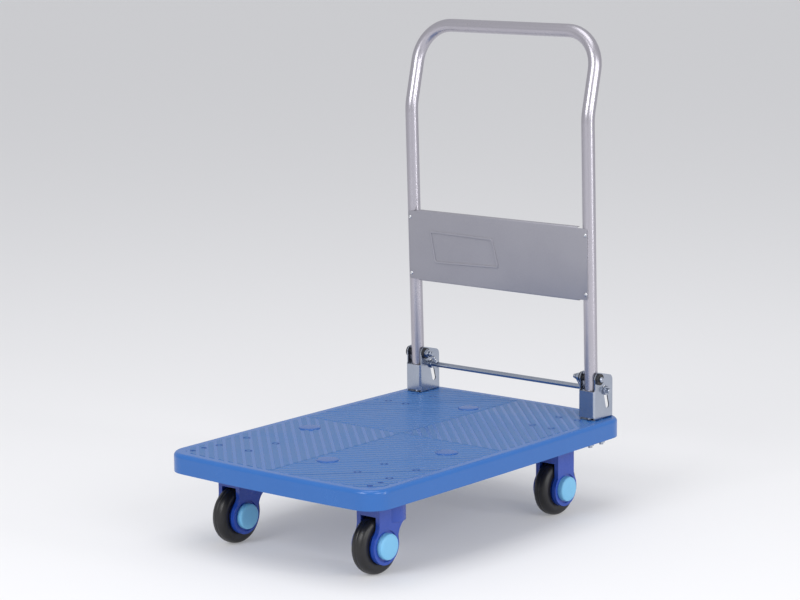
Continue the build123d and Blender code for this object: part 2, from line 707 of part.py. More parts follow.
for name, side in sides.items():
    x = side * rear_caster_x
    with BuildPart() as rear_fork:
        leg_disc(x, rear_axle_y)
        with BuildSketch(Plane.XY.offset(wheel_radius)) as legs:
            with Locations((x, rear_axle_y)):
                Rectangle(2 * fork_half_width, 2 * rear_leg_half)
        extrude(legs.sketch, amount=plate_bottom - wheel_radius)
        with BuildSketch(Plane.XY.offset(plate_bottom)) as flange:
            with Locations((x, rear_axle_y)):
                RectangleRounded(rear_plate_x, rear_plate_y, boss_radius)
        extrude(flange.sketch, amount=-rear_flange)
        with BuildSketch(Plane.XY.offset(plate_bottom)) as flange_holes:
            with Locations(*rear_bolt_places(side)):
                Circle(caster_bolt_radius)
        extrude(flange_holes.sketch, amount=-rear_flange, mode=Mode.SUBTRACT)
        fork_pocket(x, rear_axle_y)
        cap_seats(x, rear_axle_y)
    finish(rear_fork, f"rear_fork_{name}")

    with BuildPart() as rear_plate:
        with BuildSketch(Plane.XY.offset(plate_bottom)) as plate_face:
            with Locations((x, rear_axle_y)):
                RectangleRounded(rear_plate_x, rear_plate_y, boss_radius)
            with Locations(*rear_bolt_places(side)):
                Circle(caster_bolt_radius, mode=Mode.SUBTRACT)
        extrude(plate_face.sketch, amount=plate_thickness)
    finish(rear_plate, f"rear_plate_{name}")
    finish(make_axle(x, rear_axle_y), f"rear_axle_{name}")
    finish(make_caps(x, rear_axle_y), f"rear_axle_caps_{name}")

with BuildPart() as rear_caster_bolts:
    for bolt_x, bolt_y in rear_bolts:
        seat_z = plate_bottom - rear_flange
        shank = rear_flange + plate_thickness + caster_bolt_depth - 1
        rod(upright(bolt_x, bolt_y, seat_z), caster_bolt_radius, shank)
        hexagon(upright(bolt_x, bolt_y, seat_z, -1), 2 * bolt_head_radius - 2, bolt_head_height)
finish(rear_caster_bolts, "rear_caster_bolts")

# ---- wheels: rubber tyre on a plastic core that turns on two bearings ----
wheel_places = {
    "front_left": (-front_caster_x, front_axle_y),
    "front_right": (front_caster_x, front_axle_y),
    "rear_left": (-rear_caster_x, rear_axle_y),
    "rear_right": (rear_caster_x, rear_axle_y),
}
tyre_shoulder = 47           # radius where the tyre is widest
core_lip = 5
for name, (x, axle_y) in wheel_places.items():
    wheel_plane = Plane((x, axle_y, wheel_radius), x_dir=(1, 0, 0), z_dir=(0, -1, 0))
    wheel_axis = Axis((x, axle_y, wheel_radius), (1, 0, 0))
    half = tyre_width / 2
    with BuildPart() as tyre:
        with BuildSketch(wheel_plane) as tyre_section:
            with BuildLine():
                Line((-core_width / 2, core_radius), (core_width / 2, core_radius))
                Spline(
                    (core_width / 2, core_radius),
                    (half, tyre_shoulder),
                    (0.72 * half, wheel_radius - 4.5),
                    (0, wheel_radius),
                    tangents=[(0.6, 1), (-1, 0)],
                )
                Spline(
                    (0, wheel_radius),
                    (-0.72 * half, wheel_radius - 4.5),
                    (-half, tyre_shoulder),
                    (-core_width / 2, core_radius),
                    tangents=[(-1, 0), (0.6, -1)],
                )
            make_face()
        revolve(tyre_section.sketch, axis=wheel_axis)
    finish(tyre, f"tyre_{name}")

    with BuildPart() as core:
        left = Plane((x, axle_y, wheel_radius), x_dir=(0, 1, 0), z_dir=(1, 0, 0))
        ring(left.offset(-core_width / 2), core_radius, core_radius - core_lip, core_width)
        ring(left.offset(-core_web / 2), core_radius - core_lip, hub_radius, core_web)
        ring(left.offset(-hub_width / 2), hub_radius, bearing_radius, hub_width)
        spacer = left.offset(bearing_width - hub_width / 2)
        ring(spacer, bearing_radius, axle_radius + 2, hub_width - 2 * bearing_width)
    finish(core, f"wheel_core_{name}")

    with BuildPart() as bearings:
        for start in (-hub_width / 2, hub_width / 2 - bearing_width):
            ring(left.offset(start), bearing_radius, axle_radius + running_gap, bearing_width)
    finish(bearings, f"wheel_bearings_{name}")
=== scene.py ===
import json
from math import cos, pi, radians, sin

import bmesh
import bpy
from mathutils import Matrix, Vector


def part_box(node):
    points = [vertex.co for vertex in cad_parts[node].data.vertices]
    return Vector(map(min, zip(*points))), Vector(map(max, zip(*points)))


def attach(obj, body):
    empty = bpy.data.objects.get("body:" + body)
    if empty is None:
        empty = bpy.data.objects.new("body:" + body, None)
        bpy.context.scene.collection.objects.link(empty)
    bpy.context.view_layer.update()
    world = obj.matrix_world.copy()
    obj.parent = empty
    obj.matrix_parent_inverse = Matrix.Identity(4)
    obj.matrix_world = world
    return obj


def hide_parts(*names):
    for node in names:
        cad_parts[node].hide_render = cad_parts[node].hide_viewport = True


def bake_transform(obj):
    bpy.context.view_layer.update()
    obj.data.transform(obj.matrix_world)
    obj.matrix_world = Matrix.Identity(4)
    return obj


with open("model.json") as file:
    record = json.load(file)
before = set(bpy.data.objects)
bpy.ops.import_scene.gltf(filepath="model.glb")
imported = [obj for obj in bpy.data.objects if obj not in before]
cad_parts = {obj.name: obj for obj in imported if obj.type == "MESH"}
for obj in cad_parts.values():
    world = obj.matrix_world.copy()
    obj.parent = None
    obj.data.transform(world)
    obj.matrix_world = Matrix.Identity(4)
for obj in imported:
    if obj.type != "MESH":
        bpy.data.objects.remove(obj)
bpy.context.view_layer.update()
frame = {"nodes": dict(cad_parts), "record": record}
mm = 0.001

# ---- Deck ----
# One injection-moulded polypropylene tray, ribbed below, with a smooth border round a field of flat
# anti-slip ribs. Two raised seams part the field into four, and the ribs change direction from one
# quarter to the next. Low round bosses and ring-shaped bolt marks break the ribs.
deck_low, deck_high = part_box("deck")
deck_top = deck_high.z
border_width = 23 * mm
field_corner = 34 * mm
side_bow = 4 * mm
end_bow = 9 * mm
rib_pitch = 19.5 * mm
rib_width = 11.5 * mm
rib_height = 0.6 * mm
rib_foot = 0.4 * mm          # the ribs reach this far into the plate
rib_rounding = 0.75 * mm
seam_width = 3.2 * mm
seam_gap = 2.6 * mm
boss_clearing = 26 * mm      # radius left free of ribs round a boss
mark_radius = 8.5 * mm
corner_mark_radius = 6.5 * mm


def linear(code):
    """An sRGB hex colour as linear red, green, blue and alpha."""
    parts = [int(code[i:i + 2], 16) / 255 for i in (1, 3, 5)]
    return [c / 12.92 if c <= 0.04045 else ((c + 0.055) / 1.055) ** 2.4 for c in parts] + [1]


def new_material(name, colour, roughness, metallic=0.0, **shader_values):
    """A material with its shader set, and the tree and shader to add detail to."""
    material = bpy.data.materials.new(name)
    material.use_nodes = True
    shader = material.node_tree.nodes["Principled BSDF"]
    shader.inputs["Base Color"].default_value = linear(colour)
    shader.inputs["Roughness"].default_value = roughness
    shader.inputs["Metallic"].default_value = metallic
    for socket, value in shader_values.items():
        shader.inputs[socket.replace("_", " ")].default_value = value
    return material, material.node_tree, shader


def add_node(tree, kind, values=None, **settings):
    """A node with its settings; each value is a number, a colour or another node's output."""
    node = tree.nodes.new(kind)
    for name, setting in settings.items():
        setattr(node, name, setting)
    for name, value in (values or {}).items():
        if isinstance(value, bpy.types.NodeSocket):
            tree.links.new(value, node.inputs[name])
        else:
            node.inputs[name].default_value = value
    return node


def grained(tree, shader, grain, bump, low, high, mottle=0.0, tint=None):
    """A surface's grain: bump from fine noise, roughness and a drift of colour from fine and coarse.
    grain and bump are its size and depth in metres, low and high the roughness it runs between."""
    place = add_node(tree, "ShaderNodeTexCoord").outputs["Object"]
    fine = add_node(tree, "ShaderNodeTexNoise", {"Vector": place, "Scale": 1 / grain, "Detail": 3.0})
    slow = add_node(tree, "ShaderNodeTexNoise", {"Vector": place, "Scale": 9.0, "Detail": 4.0})
    rise = add_node(tree, "ShaderNodeBump", {"Height": fine.outputs["Fac"], "Distance": bump,
                                             "Strength": 1.0})
    both = add_node(tree, "ShaderNodeMath", {0: fine.outputs["Fac"], 1: slow.outputs["Fac"]},
                    operation="ADD")
    spread = add_node(tree, "ShaderNodeMapRange", {"Value": both.outputs[0], "From Min": 0.75,
                                                   "From Max": 1.25, "To Min": low, "To Max": high})
    tree.links.new(spread.outputs[0], shader.inputs["Roughness"])
    tree.links.new(rise.outputs["Normal"], shader.inputs["Normal"])
    if mottle:
        drift = add_node(tree, "ShaderNodeMapRange", {"Value": both.outputs[0], "From Min": 0.8,
                                                      "From Max": 1.2, "To Min": 0.0, "To Max": mottle})
        mix = add_node(tree, "ShaderNodeMix", {0: drift.outputs[0]}, data_type="RGBA")
        mix.inputs[6].default_value = shader.inputs["Base Color"].default_value[:]
        mix.inputs[7].default_value = linear(tint)
        tree.links.new(mix.outputs[2], shader.inputs["Base Color"])


# Polypropylene, injection moulded: an even mid blue with a soft, broad sheen. The tread comes from a
# spark-eroded stretch of the mould, so it is finely grained and looks paler. The bosses are painted a
# darker blue as painted shade, with the deck's roughness. The grooves round the bolt marks lie deeper and
# are duller, and their darker blue is painted shade in the hollows, as is that of the corner pits.
deck_plastic, tree, shader = new_material("polypropylene_moulded_mid_blue", "#2761a9", 0.24, IOR=1.49)
grained(tree, shader, 1.1 * mm, 0.01 * mm, 0.2, 0.28, 0.3, "#2f6ab2")
tread_plastic, tree, shader = new_material("polypropylene_spark_grained_mid_blue", "#35659f", 0.4, IOR=1.49)
grained(tree, shader, 0.9 * mm, 0.03 * mm, 0.35, 0.47, 0.4, "#4471ab")
# Painted shade: the bosses take a darker blue than the deck.
boss_plastic_painted_shade, tree, shader = new_material("polypropylene_mid_blue_painted_shade", "#1f569f", 0.24, IOR=1.49)
grained(tree, shader, 1.5 * mm, 0.008 * mm, 0.2, 0.28, 0.3, "#265ea8")
# Painted shade: the grooves round the bolt marks and the corner pits take a deeper, darker blue.
hollow_plastic_painted_shade, tree, shader = new_material("polypropylene_deep_blue_painted_shade", "#123f86", 0.55, IOR=1.49,
                                            Specular_IOR_Level=0.3)
grained(tree, shader, 1.5 * mm, 0.01 * mm, 0.5, 0.6, 0.3, "#184890")


def paint(material, *nodes):
    """Give CAD pieces that keep their shape a material."""
    for name in nodes:
        piece = frame["nodes"][name]
        if not piece.material_slots:
            piece.data.materials.append(None)
        for slot in piece.material_slots:
            slot.material = material


def finish_piece(name, bm, body, material, replaced=(), sharp=35):
    """Turn a bmesh into a piece that rides on a body and stands for CAD nodes."""
    mesh = bpy.data.meshes.new(name)
    bm.to_mesh(mesh)
    bm.free()
    for polygon in mesh.polygons:
        polygon.use_smooth = True
    mesh.set_sharp_from_angle(angle=radians(sharp))
    mesh.materials.append(material)
    piece = bpy.data.objects.new(name, mesh)
    bpy.context.scene.collection.objects.link(piece)
    if body:
        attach(piece, body)
    if replaced:
        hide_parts(*replaced)
    return piece


def join(bm, part):
    """Move everything in one bmesh into another."""
    carrier = bpy.data.meshes.new("carrier")
    part.to_mesh(carrier)
    part.free()
    bm.from_mesh(carrier)
    bpy.data.meshes.remove(carrier)


def turned(bm, profile, matrix, steps=72):
    """A shape turned round X and then placed; the profile is (distance along X, radius) in
    millimetres, from pole to pole or, where it starts off the axis, once round a ring's section."""
    part = bmesh.new()
    verts = [part.verts.new((x * mm, 0, radius * mm)) for x, radius in profile]
    ring_shaped = profile[0][1] > 0
    pairs = zip(verts, verts[1:] + verts[:1]) if ring_shaped else zip(verts, verts[1:])
    edges = [part.edges.new(pair) for pair in pairs]
    bmesh.ops.spin(part, geom=verts + edges, cent=(0, 0, 0), axis=(1, 0, 0), angle=2 * pi, steps=steps,
                   use_merge=True)
    bmesh.ops.remove_doubles(part, verts=part.verts, dist=1e-6)
    bmesh.ops.recalc_face_normals(part, faces=part.faces)
    bmesh.ops.transform(part, matrix=matrix, verts=part.verts)
    join(bm, part)


def standing(x, y, z):
    """Places a turned shape with its axle upright."""
    return Matrix.Translation((x, y, z)) @ Matrix.Rotation(-pi / 2, 4, "Y")


def soften(bm, edges, width, segments=2):
    """Round edges with the same settings everywhere."""
    bmesh.ops.bevel(bm, geom=edges, offset=width, offset_type="OFFSET", segments=segments, profile=0.5,
                    affect="EDGES", clamp_overlap=True, material=-1)


def trim(bm, point, normal):
    """Cut away what lies on the normal's side of a plane, and close the cut."""
    everything = bm.verts[:] + bm.edges[:] + bm.faces[:]
    bmesh.ops.bisect_plane(bm, geom=everything, dist=1e-7, plane_co=point, plane_no=normal,
                           clear_outer=True)
    bmesh.ops.holes_fill(bm, edges=[edge for edge in bm.edges if edge.is_boundary], sides=0)


def pierce(bm, cutter_bm):
    """The bmesh with another shape cut out of it."""
    plate = finish_piece("plate", bm, None, None)
    cutter = finish_piece("cutter", cutter_bm, None, None)
    modifier = plate.modifiers.new("pierce", "BOOLEAN")
    modifier.operation = "DIFFERENCE"
    modifier.solver = "EXACT"
    modifier.object = cutter
    bpy.context.view_layer.update()
    seen = plate.evaluated_get(bpy.context.evaluated_depsgraph_get())
    mesh = bpy.data.meshes.new_from_object(seen)
    for scrap in (plate, cutter):
        bpy.data.objects.remove(scrap)
    return mesh


def field_plate():
    """The ribbed field as one plate: a rectangle with round corners and swelling sides."""
    bm = bmesh.new()
    half_x = (deck_high.x - deck_low.x) / 2 - side_bow - border_width
    half_y = (deck_high.y - deck_low.y) / 2 - end_bow - border_width
    bmesh.ops.create_grid(bm, x_segments=1, y_segments=1, size=1)
    bmesh.ops.scale(bm, vec=(half_x, half_y, 1), verts=bm.verts)
    bmesh.ops.bevel(bm, geom=bm.verts[:], offset=field_corner, offset_type="OFFSET", segments=8,
                    profile=0.5, affect="VERTICES", clamp_overlap=True, material=-1)
    long_edges = [edge for edge in bm.edges if edge.calc_length() > field_corner]
    bmesh.ops.subdivide_edges(bm, edges=long_edges, cuts=14)
    for vert in bm.verts:
        x, y = vert.co.x, vert.co.y
        vert.co.x += side_bow * x / half_x * (1 - (y / half_y) ** 2)
        vert.co.y += end_bow * y / half_y * (1 - (x / half_x) ** 2)
        vert.co.z = deck_top - rib_foot
    lifted = bmesh.ops.extrude_face_region(bm, geom=bm.faces[:])["geom"]
    raised = [item for item in lifted if isinstance(item, bmesh.types.BMVert)]
    bmesh.ops.translate(bm, vec=(0, 0, rib_height + rib_foot), verts=raised)
    bmesh.ops.recalc_face_normals(bm, faces=bm.faces)
    return bm


bosses = [(-196 * mm, -84 * mm), (196 * mm, -84 * mm), (37 * mm, -288 * mm), (-37 * mm, 288 * mm)]
marks = []
for caster_x, caster_y, bolt_x, bolt_y in ((197.8, -285, 43.35, 43.35), (210, 288.3, 26, 50)):
    marks += [((side * caster_x + i * bolt_x) * mm, (caster_y + j * bolt_y) * mm)
              for side in (-1, 1) for i in (-1, 1) for j in (-1, 1)]
corner_marks = [(side * 250 * mm, y * mm) for side in (-1, 1) for y in (-401, -367)]
cutter = bmesh.new()
cleared = ((bosses, boss_clearing), (marks, mark_radius), (corner_marks, corner_mark_radius))
for spots, radius in cleared:
    for x, y in spots:
        bmesh.ops.create_cone(cutter, cap_ends=True, segments=40, radius1=radius, radius2=radius,
                              depth=10 * mm, matrix=Matrix.Translation((x, y, deck_top)))
field = pierce(field_plate(), cutter)
tread = bmesh.new()


def add_rib(*cuts):
    """What is left of the field between some planes, with its top edges rounded."""
    rib = bmesh.new()
    rib.from_mesh(field)
    for point, normal in cuts:
        trim(rib, point, normal)
    bmesh.ops.dissolve_limit(rib, angle_limit=radians(0.5), verts=rib.verts, edges=rib.edges)
    top_z = deck_top + rib_height - 1e-6
    rim = [edge for edge in rib.edges if min(vert.co.z for vert in edge.verts) > top_z
           and edge.calc_face_angle(0) > 1]
    soften(rib, rim, rib_rounding, 3)
    join(tread, rib)


for side_x in (-1, 1):
    for side_y in (-1, 1):
        turn = -pi / 4 if side_x == side_y else pi / 4
        across = Vector((-sin(turn), cos(turn), 0))
        middle = Vector((side_x * deck_high.x / 2, side_y * deck_high.y / 2, deck_top))
        for number in range(-13, 14):
            line = middle + across * rib_pitch * number
            half_rib = across * rib_width / 2
            add_rib(((side_x * seam_gap, 0, 0), (-side_x, 0, 0)),
                    ((0, side_y * seam_gap, 0), (0, -side_y, 0)),
                    (line + half_rib, across), (line - half_rib, -across))
add_rib(((seam_width / 2, 0, 0), (1, 0, 0)), ((-seam_width / 2, 0, 0), (-1, 0, 0)))
for side_x in (-1, 1):
    add_rib(((side_x * seam_gap, 0, 0), (-side_x, 0, 0)), ((0, seam_width / 2, 0), (0, 1, 0)),
            ((0, -seam_width / 2, 0), (0, -1, 0)))
button = [(-0.4, 0), (-0.4, 4.6), (0.2, 4.6), (0.5, 4.3), (0.6, 3.8), (0.6, 0)]
for x, y in marks:
    turned(tread, button, standing(x, y, deck_top), 24)
bpy.data.meshes.remove(field)
tread_piece = finish_piece("deck_tread", tread, "chassis", tread_plastic, sharp=50)
flats = tread_piece.modifiers.new("flat_tops", "WEIGHTED_NORMAL")
flats.keep_sharp = True

boss = [(-1.1, 0), (-1.1, 23.9), (0.8, 23.9), (1.5, 23.4), (2, 22.2), (2.3, 20.4), (2.5, 17), (2.6, 10),
        (2.6, 0)]
filler = [(-1.1, 0), (-1.1, 24), (0, 24), (0, 0)]
groove = [(-0.4, 4.7), (-0.4, 8.4), (0.1, 8.4), (0.05, 6.5), (0.1, 4.7)]
corner_pit = [(-0.4, 0), (-0.4, 6.4), (0.2, 6.4), (0.08, 5.6), (0.05, 0)]
raised = bmesh.new()
for x, y in bosses:
    turned(raised, boss, standing(x, y, deck_top), 64)
finish_piece("deck_bosses", raised, "chassis", boss_plastic_painted_shade, sharp=60)
level = bmesh.new()
for x, y in bosses[:2]:
    turned(level, filler, standing(x, -y, deck_top), 64)
finish_piece("deck_fillers", level, "chassis", deck_plastic)
hollows = bmesh.new()
for section, spots in ((groove, marks), (corner_pit, corner_marks)):
    for x, y in spots:
        turned(hollows, section, standing(x, y, deck_top), 32)
# The hollows carry the painted shade.
finish_piece("deck_hollows", hollows, "chassis", hollow_plastic_painted_shade, sharp=60)
paint(deck_plastic, "deck")

# ---- Wheels ----
# Each wheel is a black thermoplastic rubber tyre moulded onto a deep blue nylon core, which turns on
# two ball bearings. The tread is round across, with a fine parting line at its middle.
wheel_radius = 63.5 * mm
rubber, tree, shader = new_material("thermoplastic_rubber_moulded_black", "#141315", 0.42, IOR=1.5)
grained(tree, shader, 1.2 * mm, 0.05 * mm, 0.34, 0.52, 0.5, "#1f1e21")
nylon, tree, shader = new_material("nylon_moulded_deep_blue", "#1f43a0", 0.3, IOR=1.53)
grained(tree, shader, 0.8 * mm, 0.02 * mm, 0.2, 0.34, 0.35, "#2a50b0")
bearing_steel, tree, shader = new_material("bearing_steel_ground", "#8f9298", 0.25, 1.0)
grained(tree, shader, 0.5 * mm, 0.01 * mm, 0.18, 0.32)

half_tyre = [(15.5, 39), (16.6, 39.6), (17.2, 41), (17.7, 44), (18, 47.5), (17.9, 51), (17.2, 54.6),
             (16.7, 55.4), (15.9, 57.2), (14, 59.6), (11.2, 61.5), (7.6, 62.8), (3.6, 63.4), (0.7, 63.5),
             (0.4, 63.2)]
tyre_profile = half_tyre + [(-x, r) for x, r in reversed(half_tyre)]
wheel_places = {}
for name in ("front_left", "front_right", "rear_left", "rear_right"):
    low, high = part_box(f"tyre_{name}")
    wheel_places[name] = Matrix.Translation(((low.x + high.x) / 2, (low.y + high.y) / 2, wheel_radius))
    tyre = bmesh.new()
    turned(tyre, tyre_profile, wheel_places[name], 96)
    finish_piece(f"moulded_tyre_{name}", tyre, f"wheel_{name}", rubber,
                 (f"tyre_{name}",), 50)
    paint(nylon, f"wheel_core_{name}")
    paint(bearing_steel, f"wheel_bearings_{name}")

# ---- Forks ----
# Deep blue nylon mouldings with two legs that end in round bosses. All edges are rounded, as the mould
# leaves them. The front pair swivels under the deck and the rear pair is bolted straight to it.
fork_rounding = 2.2 * mm


def rounded_copy(node, name, body, material, width, segments=3, angle=32):
    """The same shape with its corners rounded by a bevel."""
    bm = bmesh.new()
    bm.from_mesh(frame["nodes"][node].data)
    bmesh.ops.remove_doubles(bm, verts=bm.verts, dist=5e-6)
    bmesh.ops.dissolve_limit(bm, angle_limit=radians(1.5), verts=bm.verts, edges=bm.edges,
                             use_dissolve_boundaries=False)
    piece = finish_piece(name, bm, body, material, (node,), 180)
    bevel = piece.modifiers.new("rounding", "BEVEL")
    bevel.width = width
    bevel.segments = segments
    bevel.limit_method = "ANGLE"
    bevel.angle_limit = radians(angle)
    bevel.profile = 0.5
    bevel.use_clamp_overlap = True
    flats = piece.modifiers.new("flat_faces", "WEIGHTED_NORMAL")
    flats.keep_sharp = False
    return piece


for side in ("left", "right"):
    rounded_copy(f"swivel_fork_{side}", f"moulded_swivel_fork_{side}", f"caster_{side}",
                 nylon, fork_rounding)
    rounded_copy(f"rear_fork_{side}", f"moulded_rear_fork_{side}", "chassis", nylon,
                 fork_rounding)

# ---- Axle caps ----
# Light blue polypropylene covers pressed over the axle ends, slightly domed, with a fine-grained face.
cap_plastic, tree, shader = new_material("polypropylene_grained_light_blue", "#6fb4dd", 0.42, IOR=1.49)
grained(tree, shader, 1.4 * mm, 0.12 * mm, 0.34, 0.52, 0.6, "#86c4e6")
cap_profile = [(41.7, 0), (41.6, 9), (41.3, 18), (40.9, 24), (40.2, 26.3), (38.9, 27.6), (37.4, 28),
               (28.02, 28), (28.02, 25.6), (39.2, 25), (39.4, 0)]
cap_owners = {"front_axle_caps_left": ("front_left", "caster_left"),
              "front_axle_caps_right": ("front_right", "caster_right"),
              "rear_axle_caps_left": ("rear_left", "chassis"),
              "rear_axle_caps_right": ("rear_right", "chassis")}
for node, (wheel, body) in cap_owners.items():
    caps = bmesh.new()
    for half_turn in (0, pi):
        turned(caps, cap_profile, wheel_places[wheel] @ Matrix.Rotation(half_turn, 4, "Z"))
    finish_piece(f"domed_{node}", caps, body, cap_plastic, (node,), 40)

# ---- Steel fittings ----
# Pressed and turned steel, zinc plated: bright, faintly blue, with fine rolling marks and cloudy
# patches from the plating bath. The bolt heads and nuts have their corners turned off.
zinc, tree, shader = new_material("steel_zinc_plated_bright", "#b0b7c4", 0.24, 1.0)
grained(tree, shader, 0.6 * mm, 0.012 * mm, 0.16, 0.32, 0.7, "#969eae")
black_nylon, tree, shader = new_material("nylon_moulded_black", "#17171a", 0.4, IOR=1.53)
grained(tree, shader, 0.7 * mm, 0.03 * mm, 0.32, 0.5)
corner_rounding = 0.5 * mm
body_of = {node: body for body, nodes in frame["record"]["behaviour"]["bodies"].items() for node in nodes}
for side in ("left", "right"):
    rounded_copy(f"handle_bracket_{side}", f"pressed_bracket_{side}", "chassis", zinc,
                 corner_rounding, 2)
    paint(zinc, f"swivel_plate_{side}", f"lower_race_{side}", f"front_axle_{side}", f"rear_axle_{side}",
          f"rear_plate_{side}")
for node in ("bracket_bolts", "bracket_nuts", "pivot_bolts", "pivot_nuts", "front_caster_bolts",
             "rear_caster_bolts", "release_nuts"):
    rounded_copy(node, f"chamfered_{node}", body_of[node], zinc, corner_rounding, 2)
paint(zinc, "bracket_washers", "pivot_washers", "upper_races", "king_pins", "release_bar",
      "release_washers")
paint(bearing_steel, "swivel_balls")
paint(black_nylon, "pivot_bushes_outer", "pivot_bushes_inner", "handle_sleeves")

# ---- Release springs ----
# Two close-wound tension springs of bright wire. Each is hooked over the end of a pivot bolt and over
# the release bar, which it pulls up into its notch.
wire_radius = 0.7 * mm
coil_radius = 3.5 * mm
coil_length = 20 * mm
coil_turns = 13
hook_clearance = 0.3 * mm
spring_steel, tree, shader = new_material("steel_spring_wire_bright", "#b9bdc6", 0.25, 1.0)
grained(tree, shader, 0.5 * mm, 0.01 * mm, 0.18, 0.32)
pivot_radius = 5 * mm
bar_radius = 6 * mm
hook_steps = 20
coil_steps = 16              # points on each turn
pivot = Vector((0, *(sum(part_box("pivot_bolts"), Vector()) / 2)[1:]))
bar_centre = Vector((0, *(sum(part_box("release_bar"), Vector()) / 2)[1:]))
pull = (bar_centre - pivot).normalized()
reach = (bar_centre - pivot).length
beside = pull.cross(Vector((1, 0, 0)))


def wire_route(foot):
    """The wire's middle line from one hook, down the coil, to the other hook."""
    near = pivot_radius + hook_clearance + wire_radius
    far = bar_radius + hook_clearance + wire_radius
    points = []
    for step in range(hook_steps + 1):
        angle = radians(300) * (1 - step / hook_steps)
        points.append(foot + near * (pull * cos(angle) + beside * sin(angle)))
    coil_start = (reach - coil_length) / 2
    for step in range(coil_turns * coil_steps + 1):
        angle = 2 * pi * step / coil_steps
        down = coil_start + coil_length * step / (coil_turns * coil_steps)
        outward = beside * cos(angle) + Vector((1, 0, 0)) * sin(angle)
        points.append(foot + pull * down + outward * coil_radius)
    for step in range(hook_steps + 1):
        angle = pi + radians(300) * step / hook_steps
        points.append(foot + pull * reach + far * (pull * cos(angle) + beside * sin(angle)))
    return points


for side in ("left", "right"):
    low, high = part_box(f"release_spring_{side}")
    foot = Vector(((low.x + high.x) / 2, pivot.y, pivot.z))
    line = bpy.data.curves.new("wire", "CURVE")
    line.dimensions = "3D"
    line.bevel_depth = wire_radius
    line.bevel_resolution = 3
    line.use_fill_caps = True
    route = wire_route(foot)
    spline = line.splines.new("POLY")
    spline.points.add(len(route) - 1)
    for point, place in zip(spline.points, route):
        point.co = (*place, 1)
    rod = bpy.data.objects.new("wire", line)
    bpy.context.scene.collection.objects.link(rod)
    bpy.context.view_layer.update()
    seen = rod.evaluated_get(bpy.context.evaluated_depsgraph_get())
    wound = bmesh.new()
    wound.from_mesh(bpy.data.meshes.new_from_object(seen))
    bpy.data.objects.remove(rod)
    bmesh.ops.remove_doubles(wound, verts=wound.verts, dist=1e-6)
    bmesh.ops.recalc_face_normals(wound, faces=wound.faces)
    spring = finish_piece(f"wound_spring_{side}", wound, None, spring_steel,
                          (f"release_spring_{side}",), 60)
    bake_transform(spring)

# ---- Handle ----
# One bent steel tube, powder coated in a silver grey with a lilac cast. The coat is slightly metallic
# and has the fine orange peel of sprayed powder.
silver_coat, tree, shader = new_material("steel_powder_coated_silver", "#b4b1b9", 0.3, 0.85)
grained(tree, shader, 1.6 * mm, 0.02 * mm, 0.25, 0.35, 0.4, "#a8a5ad")
paint(silver_coat, "handle_tube")

# ---- Panel ----
# Grey painted sheet steel. Its long edges are turned back, its flat ends lie on the uprights, and a
# slanted outline is pressed proud of its left half.
sheet = 1.2 * mm
sheet_back = -15 * mm        # from the uprights' middle
panel_low, panel_high = 179 * mm, 347 * mm
panel_half_width = 257.5 * mm
turned_half_width = 231 * mm
bend_radius = 3 * mm
turned_depth = 9 * mm
end_corner = 6 * mm
bead_width = 5 * mm
bead_height = 2 * mm
bead_foot = 0.3 * mm         # the bead reaches this far into the sheet
edge_rounding = 0.3 * mm
upright = Matrix.Translation(pivot) @ Matrix.Rotation(radians(1.5), 4, "X")
panel_paint, tree, shader = new_material("sheet_steel_painted_grey", "#97969e", 0.42, 0.35)
grained(tree, shader, 1.8 * mm, 0.03 * mm, 0.36, 0.48, 0.5, "#8e8d95")

panel = bmesh.new()
front_y = sheet_back - sheet
flat_low, flat_high = panel_low + bend_radius, panel_high - bend_radius
bmesh.ops.create_grid(panel, x_segments=1, y_segments=1, size=1,
                      matrix=Matrix.Rotation(pi / 2, 4, "X"))
bmesh.ops.scale(panel, vec=(panel_half_width, 1, (flat_high - flat_low) / 2), verts=panel.verts)
bmesh.ops.translate(panel, vec=(0, front_y, (flat_low + flat_high) / 2), verts=panel.verts)
bmesh.ops.bevel(panel, geom=panel.verts[:], offset=end_corner, offset_type="OFFSET", segments=4,
                profile=0.5, affect="VERTICES", clamp_overlap=True, material=-1)
for side in (-1, 1):
    everything = panel.verts[:] + panel.edges[:] + panel.faces[:]
    bmesh.ops.bisect_plane(panel, geom=everything, dist=1e-7, plane_co=(side * turned_half_width, 0, 0),
                           plane_no=(1, 0, 0))
for edge_z, way in ((flat_low, 1), (flat_high, -1)):
    long_edges = [edge for edge in panel.edges if edge.is_boundary
                  and all(abs(vert.co.z - edge_z) < 1e-6 and abs(vert.co.x) < turned_half_width + 1e-6
                          for vert in edge.verts)]
    ends = list({vert for edge in long_edges for vert in edge.verts})
    bent = bmesh.ops.spin(panel, geom=ends + long_edges, cent=(0, front_y + bend_radius, edge_z),
                          axis=(way, 0, 0), angle=pi / 2, steps=4)["geom_last"]
    drawn = bmesh.ops.extrude_edge_only(panel, edges=[item for item in bent
                                                      if isinstance(item, bmesh.types.BMEdge)])["geom"]
    bmesh.ops.translate(panel, vec=(0, turned_depth - bend_radius, 0),
                        verts=[item for item in drawn if isinstance(item, bmesh.types.BMVert)])
bmesh.ops.recalc_face_normals(panel, faces=panel.faces)
if sum(face.normal.y * face.calc_area() for face in panel.faces) > 0:
    bmesh.ops.reverse_faces(panel, faces=panel.faces)
bmesh.ops.transform(panel, matrix=upright, verts=panel.verts)
panel_piece = finish_piece("pressed_panel", panel, "handle", panel_paint,
                           ("handle_panel",), 30)
wall = panel_piece.modifiers.new("sheet", "SOLIDIFY")
wall.thickness = sheet
wall.offset = -1
rounding = panel_piece.modifiers.new("rounding", "BEVEL")
rounding.width = edge_rounding
rounding.segments = 2
rounding.limit_method = "ANGLE"
rounding.angle_limit = radians(50)

